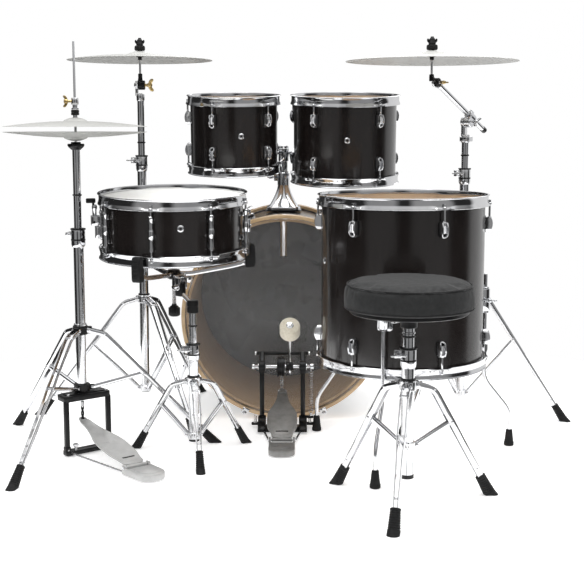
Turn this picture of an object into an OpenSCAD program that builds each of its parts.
// Acoustic drum kit: bass drum, two rack toms, floor tom, snare drum, hi-hat,
// two cymbal stands, bass drum pedal and round throne, laid out for a player
// who sits on the -Y side. Millimetres, +Z up, floor at Z = 0.

/* [Bass drum] */
// Outer radius of the bass drum shell
bass_r = 279.4; // [277:0.2:280]
// Length of the bass drum shell
bass_len = 457; // [420:1:470]
// Radius over the wooden hoops
bass_hoop_r = 292.5; // [291:0.5:294]

/* [Rack toms] */
// Shell radius of the small rack tom
tom10_r = 127; // [124:1:128]
// Shell depth of the small rack tom
tom10_d = 203; // [190:1:206]
// Shell radius of the large rack tom
tom12_r = 152.4; // [150:0.2:153]
// Shell depth of the large rack tom
tom12_d = 235; // [220:1:238]
// Lean of both rack toms towards the player
tom_tilt = 4.5; // [3:0.5:6]

/* [Floor tom] */
// Shell radius of the floor tom
floor_r = 203.2; // [201:0.2:204]
// Shell depth of the floor tom
floor_d = 406; // [396:1:408]

/* [Snare drum] */
// Shell radius of the snare drum
snare_r = 177.8; // [176:0.2:179]
// Shell depth of the snare drum
snare_d = 140; // [132:1:142]
// Lean of the snare drum towards the player
snare_tilt = 3; // [2:0.5:4]

/* [Cymbals] */
// Radius of the hi-hat cymbals
hat_r = 178; // [165:1:180]
// Opening between the hi-hat cymbals with the pedal up
hat_gap = 12; // [11.5:0.5:16]
// Radius of the left crash cymbal
left_r = 203; // [190:1:204]
// Radius of the right ride cymbal on the boom
right_r = 229; // [215:1:230]

/* [Seat] */
// Radius of the throne cushion
seat_r = 140; // [130:1:142]
// Thickness of the throne cushion
seat_t = 62; // [50:1:64]

/* [Hidden] */
$fn = 48;

// shift of the whole kit so that the floor centre of its outline is the origin
kit_x = -2.024; kit_y = 9.771;

// running clearance of a sliding tube in its guide, and of a pin in its eye
run = 0.08;

// places of the free-standing items on the floor
P_HAT = [-541, -101]; P_SN = [-250, -141]; P_THR = [255, -526]; P_FT = [277, -130];
P_CYM = [-427, 284]; P_BOOM = [485, 243];
bass_x = -22; bass_y0 = 236; bass_z = bass_hoop_r;
ped_x = -26.5;

// ------------------------------------------------------------------ helpers
module rod(p, q, r) {
  v = q - p; L = norm(v);
  translate(p) rotate([0, acos(v[2] / L), atan2(v[1], v[0])]) cylinder(r = r, h = L);
}
// flat bar: w in the upright plane that holds the bar, t across it
module bar(p, q, w, t) {
  v = q - p; L = norm(v);
  translate(p) rotate([0, acos(v[2] / L), atan2(v[1], v[0])])
    translate([-w / 2, -t / 2, -w * 0.3]) cube([w, t, L + w * 0.6]);
}
module ring(R, r, h) { difference() { cylinder(r = R, h = h, $fn = 96); translate([0, 0, -1]) cylinder(r = r, h = h + 2, $fn = 96); } }
// wing nut on a screw that runs from a towards b
module wing(a, b, span) {
  v = (b - a) / norm(b - a);
  rod(a, b, 3); rod(b - 9 * v, b, 6.5);
  w = [-v[1], v[0], 0];
  rod(b - 4 * v, b + (span / 2) * w + 4 * v + [0, 0, span * 0.25], 3.2);
  rod(b - 4 * v, b - (span / 2) * w + 4 * v - [0, 0, span * 0.25], 3.2);
}
module place() { translate([kit_x, kit_y, 0]) children(); }
module spot(p, z = 0) { translate([p[0], p[1], z]) children(); }

// ------------------------------------------------------- tripods and stands
// Point where a leg bar bends, and its height at radius x
function kink_z(zc) = zc - 12;
function leg_z(x, R, zc) = kink_z(zc) + (26 - kink_z(zc)) * (x - 60) / (R - 14 - 60);
// one double-bar leg with its double-bar brace, towards +X
module leg(R, zc, zl, xb, w) {
  for (s = [-1, 1]) {
    bar([20, s * 8.5, zc], [60, s * 8.5, kink_z(zc)], w, 2.6);
    bar([60, s * 8.5, kink_z(zc)], [R - 14, s * 4.2, 26], w, 2.6);
    bar([18, s * 4.6, zl], [xb, s * 4.6, leg_z(xb, R, zc)], w * 0.8, 2.2);
  }
  rod([21, -12, zc], [21, 12, zc], 3.5);
  rod([19, -8, zl], [19, 8, zl], 3);
  rod([xb, -11, leg_z(xb, R, zc)], [xb, 11, leg_z(xb, R, zc)], 3);
  rod([60, -10, kink_z(zc)], [60, 10, kink_z(zc)], 2.4);
  rod([R - 34, -7, leg_z(R - 34, R, zc)], [R - 34, 7, leg_z(R - 34, R, zc)], 2.4);
}
module legs(R, a0, zc, zl, xb, w = 12) { for (k = [0:2]) rotate(a0 + 120 * k) leg(R, zc, zl, xb, w); }
// a foot moulded over the end of a leg, cut flat where it meets the floor
module foot(R, zc, r = 12.5) {
  q = [R - 14, 0, 26]; d = (q - [60, 0, kink_z(zc)]) / norm(q - [60, 0, kink_z(zc)]);
  intersection() {
    union() { rod(q - 24 * d, q + 60 * d, r); rod(q - 24 * d, q - 18 * d, r + 2); }
    translate([0, -40, 0]) cube([R + 80, 80, 120]);
  }
}
module feet(p, R, a0, zc, r = 12.5) { spot(p) for (k = [0:2]) rotate(a0 + 120 * k) foot(R, zc, r); }

// base of a stand: legs, leg collar, brace collar, bored tube and height clamp
module stand_base(R, a0, zc, zl, xb, z0, z1, ro, rs, w = 12) {
  difference() {
    union() {
      translate([0, 0, z0]) cylinder(r = ro, h = z1 - z0);
      translate([0, 0, zc - 11]) cylinder(r = ro + 5, h = 22);
      translate([0, 0, zc + 11]) cylinder(r = ro + 3, h = 5);
      translate([0, 0, zl - 9]) cylinder(r = ro + 4, h = 18);
      translate([0, 0, z1 - 46]) cylinder(r = ro + 3.4, h = 46);
      translate([0, 0, z1 - 3]) cylinder(r = ro + 5.5, h = 3);
      translate([-ro - 18, -6, z1 - 22]) cube([16, 12, 16]);
      wing([-ro - 2, 0, z1 - 14], [-ro - 34, 0, z1 - 14], 26);
      legs(R, a0, zc, zl, xb, w);
    }
    translate([0, 0, z0 + 6]) cylinder(r = ro - 1.6, h = z1 - z0 - 46);
    translate([0, 0, z1 - 45]) cylinder(r = rs + run, h = 60);
    translate([0, 0, z0 + 6]) cylinder(r = rs + run, h = z1 - z0);
  }
}

// --------------------------------------------------------------- drum parts
module shell(R, d, t = 6) { translate([0, 0, -d]) ring(R, R - t, d); }
// pressed metal hoop over the top edge at Z = 0, with an ear hole per rod
module hoop(R, n, a0, up = 12) {
  difference() {
    rotate_extrude($fn = 96) polygon([[R + 4.5, up], [R + 4.5, -15], [R + 14, -15], [R + 14, -12.2],
      [R + 7, -12.2], [R + 7, up - 4], [R + 10.5, up - 2.6], [R + 10.5, up]]);
    for (k = [0:n - 1]) rotate(a0 + 360 / n * k) translate([R + 10.4, 0, -20]) cylinder(r = 3.1, h = 14);
  }
}
module hoops(R, d, n, a0) {
  hoop(R, n, a0);
  translate([0, 0, -d]) mirror([0, 0, 1]) hoop(R, n, a0);
}
// film with its flesh ring around the shell's edge
module head(R) {
  translate([0, 0, 0.1]) cylinder(r = R + 4.2, h = 0.6, $fn = 96);
  translate([0, 0, -8]) ring(R + 4.2, R + 0.6, 8.7);
}
module heads(R, d) { head(R); translate([0, 0, -d]) mirror([0, 0, 1]) head(R); }
// tension rod with its square head above the hoop's ear
module tension_rod(zl) {
  translate([0, 0, zl]) cylinder(r = 2.8, h = -zl - 10);
  translate([0, 0, -12]) cylinder(r = 3.3, h = 2.4);
  translate([-3.2, -3.2, -9.8]) cube([6.4, 6.4, 8]);
}
// arched lug with rod, towards +X, for the hoop at Z = 0
module lug(R, zl) {
  translate([R + 0.15, 0, zl]) rotate([0, 90, 0]) linear_extrude(height = 3) union() {
    circle(r = 11); translate([0, -11]) square([22, 22]); translate([22, 0]) circle(r = 11); }
  translate([R + 2, 0, zl]) rotate([0, 90, 0]) linear_extrude(height = 15) union() {
    circle(r = 8); translate([0, -8]) square([18, 16]); }
  translate([R + 10.4, 0, 0]) tension_rod(zl);
}
module lugs(R, d, n, a0, zl) {
  for (k = [0:n - 1]) rotate(a0 + 360 / n * k) {
    lug(R, -zl);
    translate([0, 0, -d]) mirror([0, 0, 1]) lug(R, -zl);
  }
}
module vent(R, a, z) { rotate(a) translate([R + 0.2, 0, z]) rotate([0, 90, 0]) ring(8, 4, 2.5); }

// --------------------------------------------------------------- bass drum
module bass_at(y) { translate([bass_x, y, bass_z]) rotate([-90, 0, 0]) children(); }
bass_y1 = bass_y0 + bass_len;
module bass_shell() {
  color([0.17, 0.14, 0.13]) difference() {
    bass_at(bass_y0) ring(bass_r, bass_r - 7, bass_len);
    translate([bass_x - 4, 562, bass_z + 240]) cylinder(r = 20, h = 60);
  }
}
module wood_hoop() { difference() { ring(bass_hoop_r, 282.2, 38); translate([0, 0, 12]) cylinder(r = 282.2, h = 40, $fn = 96); } ring(283, 279.8, 12); }
module bass_hoops() {
  color([0.80, 0.60, 0.38]) {
    bass_at(bass_y0 - 16) wood_hoop();
    translate([0, 2 * bass_y0 + bass_len, 0]) mirror([0, 1, 0]) bass_at(bass_y0 - 16) wood_hoop();
  }
}
module bass_head_solid() { translate([0, 0, -1.4]) cylinder(r = 281.6, h = 1, $fn = 96); translate([0, 0, -1.4]) ring(281.6, 280, 14); }
module bass_batter_head() { color([0.85, 0.85, 0.85]) bass_at(bass_y0) bass_head_solid(); }
module bass_front_head() {
  color([0.2, 0.2, 0.2]) translate([0, 2 * bass_y0 + bass_len, 0]) mirror([0, 1, 0]) bass_at(bass_y0) bass_head_solid();
}
module bass_claw_set() {
  for (k = [0:7]) rotate(22.5 + 45 * k) {
    translate([bass_r + 0.2, -11, 52]) cube([14, 22, 40]);
    translate([bass_r + 12, 0, 60]) rotate([0, 90, 0]) cylinder(r = 9, h = 8);
    translate([bass_hoop_r + 6, 0, -26]) cylinder(r = 3, h = 90);
    translate([bass_hoop_r + 0.3, -11, -19]) cube([9, 22, 30]);
    translate([bass_hoop_r - 12, -11, -19.5]) cube([16, 22, 3]);
    translate([bass_hoop_r + 6, 0, -30]) cylinder(r = 5, h = 12);
    translate([bass_r + 10, -5, 55]) cube([13, 10, 10]);
  }
}
module bass_lugs() {
  color([0.8, 0.8, 0.82]) {
    bass_at(bass_y0) rotate(0) bass_claw_set();
    translate([0, 2 * bass_y0 + bass_len, 0]) mirror([0, 1, 0]) bass_at(bass_y0) bass_claw_set();
    for (s = [-1, 1]) spur_place(s) difference() {
      translate([0.3, -22, -22]) cube([11, 44, 44]);
      rotate([0, 90, 0]) cylinder(r = 8 + run, h = 30);
    }
  }
}
// spur bracket frame: local +X leaves the shell squarely
spur_a = 22; spur_y = 560;
module spur_place(s) { translate([bass_x, spur_y, bass_z]) mirror([s < 0 ? 1 : 0, 0, 0]) rotate([0, spur_a, 0]) translate([bass_r, 0, 0]) children(); }
module spur(s) {
  color([0.8, 0.8, 0.82]) {
    spur_place(s) { rotate([0, 90, 0]) translate([0, 0, 1]) cylinder(r = 8, h = 24); translate([11.6, 0, 0]) rotate([0, 90, 0]) cylinder(r = 15, h = 12); }
    mirror_about(s) { rod([276, spur_y, 182], [340, spur_y + 48, 14], 6); translate([342, spur_y + 49.5, 0]) cylinder(r = 12, h = 34); }
  }
}
module mirror_about(s) { translate([bass_x, 0, 0]) mirror([s < 0 ? 1 : 0, 0, 0]) children(); }
module spur_left() { spur(-1); }
module spur_right() { spur(1); }

// --------------------------------------------------------------- tom mount
MT = [-26, 562];
module tom_mount_base() {
  color([0.78, 0.78, 0.8]) spot(MT) difference() {
    union() {
      translate([0, 0, 583]) cylinder(r = 57, h = 7);
      translate([-40, -40, 573.4]) cube([80, 80, 10]);
      translate([0, 0, 590]) cylinder(r1 = 50, r2 = 17, h = 66);
      translate([0, 0, 540]) cylinder(r = 17.5, h = 150);
      wing([-12, 0, 676], [-38, 0, 676], 26);
    }
    translate([0, 0, 400]) cylinder(r = 12.7 + run, h = 400);
  }
}
// post with a cross pin; each tom's arm turns on one end of the pin
module tom_post() {
  color([0.8, 0.8, 0.82]) spot(MT) {
    translate([0, 0, 430]) cylinder(r = 12.7, h = 320);
    translate([0, 0, 724]) cylinder(r = 16, h = 48);
    translate([-37, 0, piv_z]) rotate([0, 90, 0]) cylinder(r = 5, h = 74);
    wing([0, -14, 762], [0, -40, 762], 22);
  }
}
T10 = [-170, 400, 910]; T12 = [158, 455, 912]; piv_z = 750;
module tom10_at() { translate(T10) rotate([tom_tilt, 0, 0]) children(); }
module tom12_at() { translate(T12) rotate([tom_tilt, 0, 0]) children(); }
// shell brackets sit square on the shell between two rows of lugs
a10 = 52; a12 = 149;
module tom_hub(x) { translate([MT[0] + x, MT[1], piv_z]) rotate([0, 90, 0]) translate([0, 0, -8]) cylinder(r = 12.5, h = 16); }
module tom_hub_bore(x) { translate([MT[0] + x, MT[1], piv_z]) rotate([0, 90, 0]) translate([0, 0, -20]) cylinder(r = 5 + run, h = 40); }
module tom_arm_left() {
  color([0.8, 0.8, 0.82]) difference() {
    union() {
      tom_hub(-26);
      tom10_at() rotate(a10) translate([tom10_r + 0.3, -17, -176]) cube([12, 34, 46]);
      rod([MT[0] - 27, MT[1] - 8, piv_z], [-87.5, 517.7, 760.8], 7);
    }
    tom_hub_bore(-30);
  }
}
module tom_arm_right() {
  color([0.8, 0.8, 0.82]) difference() {
    union() {
      tom_hub(26);
      tom12_at() rotate(a12) translate([tom12_r + 0.3, -17, -190]) cube([12, 34, 50]);
      rod([MT[0] + 28, MT[1] - 10, piv_z], [21, 549.5, 752], 6.5);
    }
    tom_hub_bore(24);
  }
}
module tom10_shell() { color([0.17, 0.14, 0.13]) tom10_at() shell(tom10_r, tom10_d); }
module tom10_hoops() { color([0.85, 0.85, 0.87]) tom10_at() hoops(tom10_r, tom10_d, 5, 246); }
module tom10_heads() { color([0.9, 0.9, 0.9]) tom10_at() heads(tom10_r, tom10_d); }
module tom10_lugs() { color([0.85, 0.85, 0.87]) tom10_at() { lugs(tom10_r, tom10_d, 5, 246, 44); vent(tom10_r, 282, -98); } }
module tom12_shell() { color([0.17, 0.14, 0.13]) tom12_at() shell(tom12_r, tom12_d); }
module tom12_hoops() { color([0.85, 0.85, 0.87]) tom12_at() hoops(tom12_r, tom12_d, 5, 234); }
module tom12_heads() { color([0.9, 0.9, 0.9]) tom12_at() heads(tom12_r, tom12_d); }
module tom12_lugs() { color([0.85, 0.85, 0.87]) tom12_at() { lugs(tom12_r, tom12_d, 5, 234, 44); vent(tom12_r, 270, -110); } }

// --------------------------------------------------------------- floor tom
FT_top = 653;
leg_a = [13.8, 133.8, -106.2]; leg_r = floor_r + 23;
module ft_at() { spot(P_FT, FT_top) children(); }
module floor_tom_shell() { color([0.17, 0.14, 0.13]) ft_at() shell(floor_r, floor_d); }
module floor_tom_hoops() { color([0.85, 0.85, 0.87]) ft_at() hoops(floor_r, floor_d, 6, 231.4); }
module floor_tom_heads() { color([0.9, 0.9, 0.9]) ft_at() heads(floor_r, floor_d); }
module floor_tom_lugs() {
  color([0.85, 0.85, 0.87]) ft_at() {
    lugs(floor_r, floor_d, 6, 231.4, 50);
    vent(floor_r, 195, -150);
    for (a = leg_a) rotate(a) difference() {
      union() {
        translate([floor_r + 0.3, -20, -300]) cube([7, 40, 74]);
        translate([floor_r + 4, -12, -292]) cube([32, 24, 58]);
        wing([leg_r, -8, -262], [leg_r, -38, -262], 26);
      }
      translate([leg_r, 0, -400]) cylinder(r = 5 + run, h = 300);
    }
  }
}
module floor_tom_legs() {
  color([0.8, 0.8, 0.82]) spot(P_FT) for (a = leg_a) rotate(a) {
    translate([leg_r, 0, 185]) cylinder(r = 5, h = 270);
    rod([leg_r, 0, 185], [302, 0, 93], 5);
    translate([leg_r, 0, 185]) sphere(r = 5.6); translate([302, 0, 93]) sphere(r = 5.6);
    translate([302, 0, 20]) cylinder(r = 5, h = 73);
    cylinder_at([302, 0, 0], 13, 11); translate([302, 0, 13]) cylinder(r = 11, h = 30);
  }
}
module cylinder_at(p, h, r) { translate(p) cylinder(r = r + 2, h = h); }

// --------------------------------------------------------------- snare drum
SN = [-301, -95, 656];
module sn_at() { translate(SN) rotate([snare_tilt, 0, 0]) children(); }
module snare_shell() { color([0.17, 0.14, 0.13]) sn_at() shell(snare_r, snare_d); }
module snare_hoops() { color([0.85, 0.85, 0.87]) sn_at() hoops(snare_r, snare_d, 8, 259.5); }
module snare_heads() { color([0.95, 0.95, 0.95]) sn_at() heads(snare_r, snare_d); }
module snare_lugs() {
  color([0.85, 0.85, 0.87]) sn_at() {
    for (k = [0:7]) rotate(259.5 + 45 * k) {
      translate([snare_r + 10.4, 0, -112]) cylinder(r = 6.4, h = 84);
      for (z = [-100, -48]) translate([snare_r + 0.15, -5, z]) cube([10, 10, 8]);
      translate([snare_r + 10.4, 0, 0]) tension_rod(-30);
      translate([snare_r + 10.4, 0, -snare_d]) mirror([0, 0, 1]) tension_rod(-30);
    }
    vent(snare_r, 281.5, -58);
  }
}
str_a = 192;
module snare_wires() {
  color([0.75, 0.75, 0.78]) sn_at() rotate(str_a) {
    for (k = [-4:4]) translate([-140, k * 4.4, -snare_d - 2.6]) rotate([0, 90, 0]) cylinder(r = 1.1, h = 280);
    for (s = [-1, 1]) translate([s * 143 - 9, -21, -snare_d - 3.7]) cube([18, 42, 2.8]);
  }
}
module snare_strainer() {
  color([0.8, 0.8, 0.82]) sn_at() rotate(str_a) {
    difference() {
      union() {
        translate([snare_r + 0.4, -15, -104]) cube([8, 30, 74]);
        for (s = [-1, 1]) translate([snare_r + 6, s * 11 - 3, -66]) cube([22, 6, 22]);
        translate([snare_r + 18, 0, -46]) cylinder(r = 5, h = 30);
        translate([snare_r + 14, -14, -50]) cube([10, 28, 5]);
      }
      translate([snare_r + 20, -30, -58]) rotate([-90, 0, 0]) cylinder(r = 3 + run, h = 60);
    }
    translate([-snare_r - 8.4, -15, -104]) cube([8, 30, 60]);
    translate([-snare_r - 20, -10, -96]) cube([14, 20, 34]);
  }
}
module strainer_lever() {
  color([0.15, 0.15, 0.15]) sn_at() rotate(str_a) {
    translate([snare_r + 20, -19, -58]) rotate([-90, 0, 0]) cylinder(r = 3, h = 38);
    translate([snare_r + 20, -22.5, -58]) rotate([-90, 0, 0]) cylinder(r = 7, h = 7);
    translate([snare_r + 17, -22, -58]) cube([6, 5.6, 46]);
    translate([snare_r + 14, -25, -14]) cube([24, 11, 12]);
  }
}
// snare stand
SB = [-301, -95, 452];
basket_a = [-110, 10, 130];
module snare_stand_base() {
  color([0.8, 0.8, 0.82]) spot(P_SN) stand_base(165, 40, 190, 50, 92, 34, 288, 12.7, 9.5, 11);
}
module snare_stand_post() {
  color([0.8, 0.8, 0.82]) {
    spot(P_SN) { translate([0, 0, 110]) cylinder(r = 9.5, h = 262); translate([0, 0, 366]) cylinder(r = 14.5, h = 32); }
    difference() {
      union() {
        rod([P_SN[0], P_SN[1], 386], [-284, -110.3, 415], 6.5);
        translate([-283, -111.2, 410]) rotate([0, 0, 138]) translate([-13, -9, -6]) cube([26, 18, 34]);
      }
      translate([-283, -111.2, 430]) rotate([0, 0, 138]) rotate([90, 0, 0]) translate([0, 0, -40]) cylinder(r = 4 + run, h = 80);
    }
  }
}
// the tilt pin crosses the post's ear, and lies square to the offset of the basket
module snare_basket() {
  color([0.75, 0.75, 0.78]) {
    translate([-283, -111.2, 430]) rotate([0, 0, 138]) {
      rotate([90, 0, 0]) translate([0, 0, -16]) cylinder(r = 4, h = 32);
      for (y = [-14.6, 9.4]) translate([-9, y, -9]) cube([26, 5.2, 36]);
      translate([-2, -14.6, 20]) cube([40, 29.2, 9]);
    }
    translate([SB[0], SB[1], 0]) {
      translate([0, 0, 448]) cylinder(r = 20, h = 22);
      translate([0, 0, 372]) cylinder(r = 5, h = 80);
      translate([0, 0, 350]) cylinder(r = 15, h = 26);
      for (a = basket_a) rotate(a) {
        bar([10, 0, 460], [186, 0, 484 + 9.4 * sin(a)], 11, 8);
        difference() {
          translate([185, -11, 470 + 9.8 * sin(a)]) cube([24, 22, 62]);
          translate([-SB[0], 0, 0]) translate([SB[0], 0, 0]) rotate(-a) translate([0, 0, 0]) basket_space();
        }
      }
    }
  }
}
// room of the snare drum, its hoops and rods inside the basket grips
module basket_space() {
  translate([SN[0] - SB[0], SN[1] - SB[1], SN[2]]) rotate([snare_tilt, 0, 0]) {
    translate([0, 0, -snare_d - 12.5]) cylinder(r = snare_r + 14.5, h = 29, $fn = 96);
    translate([0, 0, -snare_d - 12.5]) cylinder(r = snare_r + 1.4 + 13.1, h = 300, $fn = 96);
  }
}

// --------------------------------------------------------------- cymbals
// cymbal with its edge at Z = 0, bell up
function cz(u, R) = u < 0.17 ? R * 0.125 - R * 0.045 * pow(u / 0.17, 2) : R * 0.072 * (1 - pow((u - 0.17) / 0.83, 1.6));
module cymbal(R) {
  n = 16;
  rotate_extrude($fn = 96) polygon(concat(
    [for (i = [0:n]) let (u = (6 + (R - 6) * i / n) / R) [u * R, cz(u, R)]],
    [for (i = [n:-1:0]) let (u = (6 + (R - 6) * i / n) / R) [u * R, cz(u, R) + 1.3]]));
}
hat_z = 818;
module hihat_bottom_cymbal() { color([0.9, 0.88, 0.84]) spot(P_HAT, hat_z) mirror([0, 0, 1]) cymbal(hat_r); }
module hihat_top_cymbal() { color([0.9, 0.88, 0.84]) spot(P_HAT, hat_z + hat_gap) cymbal(hat_r); }
left_z = 1014; right_z = 1001;
module cymbal_left() { color([0.9, 0.88, 0.84]) spot(P_CYM, left_z) cymbal(left_r); }
RC = [371, 100];
module cymbal_right() { color([0.9, 0.88, 0.84]) spot(RC, right_z) cymbal(right_r); }

// --------------------------------------------------------------- hi-hat stand
hat_dir = -51;
module hat_place() { spot(P_HAT) rotate(hat_dir) children(); }
module hihat_tripod() {
  color([0.8, 0.8, 0.82]) spot(P_HAT) difference() {
    union() {
      translate([0, 0, 304]) cylinder(r = 19, h = 23);
      for (k = [0:2]) rotate(12 + 120 * k) {
        for (s = [-1, 1]) {
          bar([18, s * 8.5, 315], [60, s * 8.5, 303], 12, 2.6);
          bar([60, s * 8.5, 303], [319, s * 4.2, 26], 12, 2.6);
          bar([24, s * 4.6, 165], [160, s * 4.6, leg_z(160, 333, 315)], 9, 2.2);
        }
        rod([21, -12, 315], [21, 12, 315], 3.5);
        rod([160, -11, leg_z(160, 333, 315)], [160, 11, leg_z(160, 333, 315)], 3);
        rod([299, -7, leg_z(299, 333, 315)], [299, 7, leg_z(299, 333, 315)], 2.4);
        bar([20.6, 0, 165], [32, 0, 166], 14, 11.4);
      }
      translate([0, 0, 156]) cylinder(r = 21, h = 20);
    }
    translate([0, 0, 100]) cylinder(r = 13, h = 300);
  }
}
module hihat_frame() {
  color([0.2, 0.2, 0.2]) {
    spot(P_HAT) difference() {
      union() {
        translate([0, 0, 150]) cylinder(r = 12.7, h = 420);
        translate([0, 0, 528]) cylinder(r = 17.5, h = 46);
        translate([0, 0, 573]) cylinder(r = 19.5, h = 3);
        rotate(-90 + 10) { wing([-14, 0, 560], [-44, 0, 560], 26); translate([-30, -6, 552]) cube([16, 12, 16]); }
      }
      translate([0, 0, 300]) cylinder(r = 9.5 + run, h = 300);
      translate([0, 0, 100]) cylinder(r = 6, h = 300);
    }
    hat_place() {
      difference() {
        union() {
          translate([-16, -66, 139]) cube([50, 132, 15]);
          for (s = [-1, 1]) translate([20, s * 60 - 6, 6]) cube([12, 12, 140]);
          translate([14, -68, 2]) cube([26, 136, 12]);
        }
        translate([0, 0, 100]) cylinder(r = 8, h = 100);
      }
      // radius rods from the posts to the heel plate
      for (s = [-1, 1]) rod([26, s * 55, 9], [261, s * 32.5, 8], 2.6);
      translate([256, -34, 3]) cube([9, 68, 7]);
      // heel plate with its two hinge ears
      difference() {
        union() {
          translate([258, -36, 2]) cube([70, 72, 17]);
          translate([322, 0, 2]) cylinder(r = 36, h = 17);
          for (s = [-1, 1]) translate([254, s * 33.5 - 2.5, 2]) cube([12, 5, 22]);
        }
        translate([250, -31, -1]) cube([24, 62, 40]);
        translate([262, -50, 19]) rotate([-90, 0, 0]) cylinder(r = 2.5 + run, h = 100);
      }
      rod([34, -40, 2], [34, -40, 30], 4);
    }
  }
}
module hihat_upper_tube() {
  color([0.8, 0.8, 0.82]) spot(P_HAT) difference() {
    union() {
      translate([0, 0, 400]) cylinder(r = 9.5, h = 376);
      translate([0, 0, 773]) cylinder(r1 = 12, r2 = 21, h = 9);
      translate([0, 0, 782]) cylinder(r = 21, h = 6);
      translate([0, 0, 788]) cylinder(r = 12, h = 4.6);
    }
    translate([0, 0, 390]) cylinder(r = 6, h = 500);
  }
}
module hihat_pull_rod() {
  color([0.8, 0.8, 0.82]) spot(P_HAT) {
    translate([0, 0, 128]) cylinder(r = 3, h = 912);
    translate([0, 0, 858.6]) cylinder(r = 10, h = 13);
    translate([0, 0, 872]) cylinder(r = 6, h = 12);
    translate([0, 0, 884]) cylinder(r = 9, h = 18);
    translate([0, 0, 842]) cylinder(r = 5.4, h = 18);
    rod([0, 0, 893], [-22, 0, 893], 3);
    rod([-22, 0, 880], [-22, 0, 908], 4);
    // chain down to the footboard
    for (k = [0:3]) translate([0, 0, 122 - 9 * k]) rotate([90, 0, k * 90]) difference() {
      cylinder(r = 6.2, h = 3.2, center = true); cylinder(r = 2.6, h = 5, center = true); }
    translate([0, 0, 79]) cylinder(r = 2.4, h = 49);
  }
}
// outline of a footboard: narrow toe at the far end, wide waist, hinge end at 0
module board_outline(L, wt, wm, wh) {
  polygon([[0, -wh / 2], [L * 0.30, -wm / 2], [L * 0.52, -wm / 2], [L * 0.80, -wt / 2 - 2], [L, -wt / 2],
    [L, wt / 2], [L * 0.80, wt / 2 + 2], [L * 0.52, wm / 2], [L * 0.30, wm / 2], [0, wh / 2]]);
}
module hihat_footboard() {
  color([0.75, 0.75, 0.75]) hat_place() translate([262, 0, 19]) rotate([0, 0, 180]) {
    rotate([90, 0, 0]) translate([0, 0, -35]) cylinder(r = 2.5, h = 70);
    rotate([0, -13, 0]) difference() {
      union() {
        translate([6, 0, -1]) linear_extrude(height = 5) board_outline(276, 30, 78, 58);
        translate([-3.5, -28, -3.5]) cube([14, 56, 7]);
      }
      translate([269, 0, -10]) cylinder(r = 5.5, h = 30);
    }
  }
}

// --------------------------------------------------------------- cymbal stand
module cymbal_stand_base() { color([0.8, 0.8, 0.82]) spot(P_CYM) stand_base(300, 62.5, 338, 76, 150, 64, 750, 12.7, 9.5); }
module cymbal_stand_tube() {
  color([0.8, 0.8, 0.82]) spot(P_CYM) {
    translate([0, 0, 560]) cylinder(r = 9.5, h = 356);
    translate([0, 0, 905]) cylinder(r = 11.5, h = 18);
    translate([-14, -7, 918]) cube([7.6, 14, 28]);
    translate([-14, 0, 946]) rotate([0, 90, 0]) cylinder(r = 13, h = 7.6);
    translate([-14, 0, 946]) rotate([0, 90, 0]) cylinder(r = 4, h = 32);
    translate([14, 0, 946]) rotate([0, 90, 0]) cylinder(r = 7, h = 6);
    rod([18, 0, 946], [30, 0, 960], 3); rod([18, 0, 946], [22, 0, 930], 3);
  }
}
module cymbal_rod(z0, zc, R) {
  // stem, lower sleeve, upper felt and wing cap; zc is the height of the cymbal's edge
  top = zc + R * 0.125 + 1.3;
  translate([0, 0, z0]) cylinder(r = 3, h = top + 38 - z0);
  translate([0, 0, zc + R * 0.125 - 24]) cylinder(r = 5.6, h = 14);
  translate([0, 0, zc + R * 0.125 - 12]) cylinder(r = 4.4, h = 20);
  translate([0, 0, zc + R * 0.125 - 16]) cylinder(r = 10, h = 11);
  translate([0, 0, top + 0.6]) cylinder(r = 15, h = 14);
  translate([0, 0, top + 15]) cylinder(r = 10, h = 14);
  translate([-14, -3, top + 20]) cube([28, 6, 8]);
}
module cymbal_tilter() {
  color([0.8, 0.8, 0.82]) spot(P_CYM) difference() {
    union() {
      translate([-6, 0, 946]) rotate([0, 90, 0]) cylinder(r = 13, h = 19);
      translate([0, 0, 955]) cylinder(r = 6, h = 22);
      cymbal_rod(950, left_z, left_r);
    }
    translate([-20, 0, 946]) rotate([0, 90, 0]) cylinder(r = 4 + run, h = 60);
  }
}

// --------------------------------------------------------------- boom stand
boom_az = -130.8; boom_el = 27.5;
BP = [494, 243, 843];
bt = 183;
module boom_stand_base() { color([0.8, 0.8, 0.82]) spot(P_BOOM) stand_base(292, -10.5, 378, 72, 146, 62, 715, 12.7, 9.5); }
module boom_stand_tube() {
  color([0.8, 0.8, 0.82]) difference() {
    union() {
      spot(P_BOOM) { translate([0, 0, 520]) cylinder(r = 9.5, h = 285); translate([0, 0, 786]) cylinder(r = 12, h = 22); }
      translate(BP) rotate(boom_az) {
        rotate([90, 0, 0]) translate([0, 0, 10.3]) cylinder(r = 15, h = 9);
        translate([-10, -19.3, -44]) cube([20, 9, 44]);
        translate([-14, -19.3, -54]) cube([32, 26, 14]);
      }
    }
    translate(BP) rotate(boom_az) rotate([90, 0, 0]) translate([0, 0, -40]) cylinder(r = 4 + run, h = 80);
  }
}
module boom_frame() { translate(BP) rotate(boom_az) rotate([0, -boom_el, 0]) children(); }
module boom_clamp() {
  color([0.8, 0.8, 0.82]) boom_frame() difference() {
    union() {
      rotate([90, 0, 0]) translate([0, 0, -10]) cylinder(r = 15, h = 20);
      rotate([90, 0, 0]) translate([0, 0, -22]) cylinder(r = 4, h = 46);
      translate([-14, -8, 8]) cube([28, 16, 18]);
      translate([0, 10, 0]) rotate([-90, 0, 0]) cylinder(r = 7, h = 8);
      rod([0, 20, 0], [16, 24, 4], 3.4); rod([0, 20, 0], [-16, 24, -4], 3.4);
    }
    translate([-40, 0, 17]) rotate([0, 90, 0]) cylinder(r = 7 + run, h = 80);
  }
}
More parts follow.
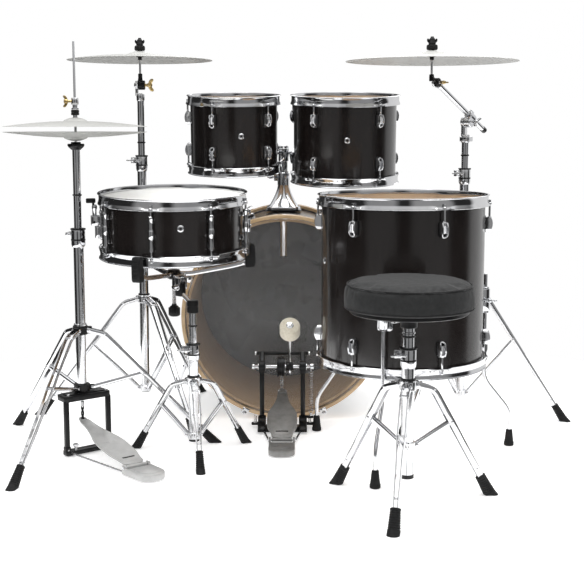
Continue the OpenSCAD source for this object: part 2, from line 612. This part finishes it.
module boom_arm() {
  color([0.8, 0.8, 0.82]) boom_frame() difference() {
    union() {
      translate([-82, 0, 17]) rotate([0, 90, 0]) cylinder(r = 7, h = 82 + bt - 4);
      translate([bt - 8, -9, 10]) cube([16, 5.4, 14]);
      translate([bt + 10, -9, 17]) rotate([-90, 0, 0]) cylinder(r = 12, h = 5.4);
    }
    translate([bt + 10, -30, 17]) rotate([-90, 0, 0]) cylinder(r = 4 + run, h = 60);
  }
}
// pivot of the boom's tilter
function boom_pt(x, z) = BP + [cos(boom_az) * (x * cos(boom_el) - z * sin(boom_el)), sin(boom_az) * (x * cos(boom_el) - z * sin(boom_el)), x * sin(boom_el) + z * cos(boom_el)];
TP = boom_pt(bt + 10, 17);
module boom_tilter() {
  color([0.8, 0.8, 0.82]) {
    translate(TP) rotate(boom_az) {
      rotate([90, 0, 0]) translate([0, 0, -8]) cylinder(r = 12, h = 11.3);
      rotate([90, 0, 0]) translate([0, 0, -12]) cylinder(r = 4, h = 26);
    }
    rod([TP[0], TP[1], TP[2]] + 5 * [cos(boom_az + 90), sin(boom_az + 90), 0], [RC[0], RC[1], 958], 5.2);
    spot(RC) { translate([0, 0, 950]) cylinder(r = 6.5, h = 18); cymbal_rod(950, right_z, right_r); }
  }
}

// --------------------------------------------------------------- bass pedal
AX = [ped_x, 110, 175];
module pedal_frame() {
  color([0.12, 0.12, 0.12]) {
    for (s = [-1, 1]) difference() {
      union() {
        translate([ped_x + s * 56.5, 110, 14]) cylinder(r = 6.5, h = 186);
        translate([ped_x + s * 56.5 - 9, 98, 158]) cube([18, 50, 56]);
        translate([ped_x + s * 56.5 - 11, 46, 2]) cube([22, 84, 34]);
        translate([ped_x + s * 56.5 + (s < 0 ? -31 : 9), 118, 6]) cube([22, 14, 8]);
      }
      translate([ped_x - 90, AX[1], AX[2]]) rotate([0, 90, 0]) cylinder(r = 5 + run, h = 180);
    }
    translate([ped_x - 74, 141, 206]) rotate([0, 90, 0]) cylinder(r = 5, h = 148);
    translate([ped_x - 56, 60, 2]) cube([113, 60, 8]);
    // hoop clamp under the wooden hoop
    translate([ped_x - 22, 110, 2]) cube([44, 106, 7]);
    translate([ped_x - 18, 204, 4]) cube([36, 12, 24]);
    // side wires and heel plate
    for (s = [-1, 1]) rod([ped_x + s * 50, 62, 6], [ped_x + s * 30, -74, 6], 3);
    difference() {
      union() {
        translate([ped_x - 34, -168, 2]) cube([68, 96, 16]);
        translate([ped_x - 20, -182, 2]) cube([40, 20, 16]);
        for (s = [-1, 1]) translate([ped_x + s * 20, -168, 2]) cylinder(r = 14, h = 16);
        for (s = [-1, 1]) translate([ped_x + s * 31.5 - 2.5, -88, 2]) cube([5, 16, 24]);
      }
      translate([ped_x - 29, -92, -1]) cube([58, 30, 40]);
      translate([ped_x - 60, -80, 20]) rotate([0, 90, 0]) cylinder(r = 2.5 + run, h = 120);
    }
    translate([ped_x + 72, 104, 36]) cube([14, 12, 6]); translate([ped_x + 56, 104, 30]) cube([28, 12, 6]);
  }
}
module pedal_footboard() {
  color([0.5, 0.48, 0.47]) translate([ped_x, -80, 20]) rotate([0, 0, 90]) {
    rotate([90, 0, 0]) translate([0, 0, -33]) cylinder(r = 2.5, h = 66);
    rotate([0, -19.5, 0]) {
      translate([5, 0, -2]) linear_extrude(height = 5) board_outline(228, 28, 82, 56);
      translate([-3.5, -27, -3.5]) cube([14, 54, 7]);
    }
  }
}
beat_a = 46.6;
module pedal_beater() {
  color([0.75, 0.74, 0.7]) translate(AX) {
    translate([-76, 0, 0]) rotate([0, 90, 0]) cylinder(r = 5, h = 162);
    translate([-15, 0, 0]) rotate([0, 90, 0]) cylinder(r = 28, h = 22);
    translate([10, 0, 0]) rotate([0, 90, 0]) cylinder(r = 12, h = 20);
    translate([76, 0, 0]) rotate([0, 90, 0]) cylinder(r = 9, h = 10);
    translate([21, 0, 0]) rotate([beat_a, 0, 0]) {
      translate([0, 0, -20]) cylinder(r = 3, h = 232);
      translate([0, 0, 165]) cylinder(r = 27, h = 40);
      translate([0, 0, 205]) cylinder(r = 10, h = 3);
    }
  }
}
module pedal_chain() { color([0.6, 0.6, 0.6]) translate([ped_x - 7, AX[1] + 28.6, 107]) cube([10, 4, 68]); }
module pedal_spring() { color([0.7, 0.7, 0.7]) translate([ped_x + 79, AX[1], 45]) ring(6.5, 4.5, 118); }

// --------------------------------------------------------------- throne
module throne_base() { color([0.8, 0.8, 0.82]) spot(P_THR) stand_base(205, 17, 268, 132, 104, 57, 352, 14.3, 12.5, 14); }
module throne_post() {
  color([0.8, 0.8, 0.82]) spot(P_THR) { translate([0, 0, 180]) cylinder(r = 12.5, h = 232); translate([0, 0, 352.6 + 30]) cylinder(r = 15, h = 5); }
}
module throne_seat() {
  color([0.2, 0.2, 0.2]) spot(P_THR) difference() {
    union() {
      translate([0, 0, 437]) cylinder(r = seat_r, h = seat_t - 14, $fn = 96);
      translate([0, 0, 437 + seat_t - 14]) cylinder(r1 = seat_r, r2 = seat_r - 14, h = 14, $fn = 96);
      translate([0, 0, 429]) cylinder(r = seat_r - 10, h = 9, $fn = 96);
      translate([0, 0, 396]) cylinder(r = 19, h = 36);
      translate([-55, -12, 424]) cube([110, 24, 8]); translate([-12, -55, 424]) cube([24, 110, 8]);
    }
    translate([0, 0, 380]) cylinder(r = 12.5 + run, h = 33);
  }
}

// --------------------------------------------------------------- rubber feet
module stand_feet() {
  color([0.06, 0.06, 0.06]) {
    feet(P_HAT, 333, 12, 315); feet(P_SN, 165, 40, 190, 11.5); feet(P_THR, 205, 17, 268, 14);
    feet(P_CYM, 300, 62.5, 338); feet(P_BOOM, 292, -10.5, 378);
  }
}

// ---- drawing
place() bass_shell();
place() bass_hoops();
place() bass_batter_head();
place() bass_front_head();
place() bass_lugs();
place() spur_left();
place() spur_right();
place() tom_mount_base();
place() tom_post();
place() tom_arm_left();
place() tom_arm_right();
place() tom10_shell();
place() tom10_hoops();
place() tom10_heads();
place() tom10_lugs();
place() tom12_shell();
place() tom12_hoops();
place() tom12_heads();
place() tom12_lugs();
place() floor_tom_shell();
place() floor_tom_hoops();
place() floor_tom_heads();
place() floor_tom_lugs();
place() floor_tom_legs();
place() snare_shell();
place() snare_hoops();
place() snare_heads();
place() snare_lugs();
place() snare_wires();
place() snare_strainer();
place() strainer_lever();
place() snare_stand_base();
place() snare_stand_post();
place() snare_basket();
place() hihat_tripod();
place() hihat_frame();
place() hihat_upper_tube();
place() hihat_bottom_cymbal();
place() hihat_pull_rod();
place() hihat_top_cymbal();
place() hihat_footboard();
place() cymbal_stand_base();
place() cymbal_stand_tube();
place() cymbal_tilter();
place() cymbal_left();
place() boom_stand_base();
place() boom_stand_tube();
place() boom_clamp();
place() boom_arm();
place() boom_tilter();
place() cymbal_right();
place() pedal_frame();
place() pedal_footboard();
place() pedal_beater();
place() pedal_chain();
place() pedal_spring();
place() throne_base();
place() throne_post();
place() throne_seat();
place() stand_feet();
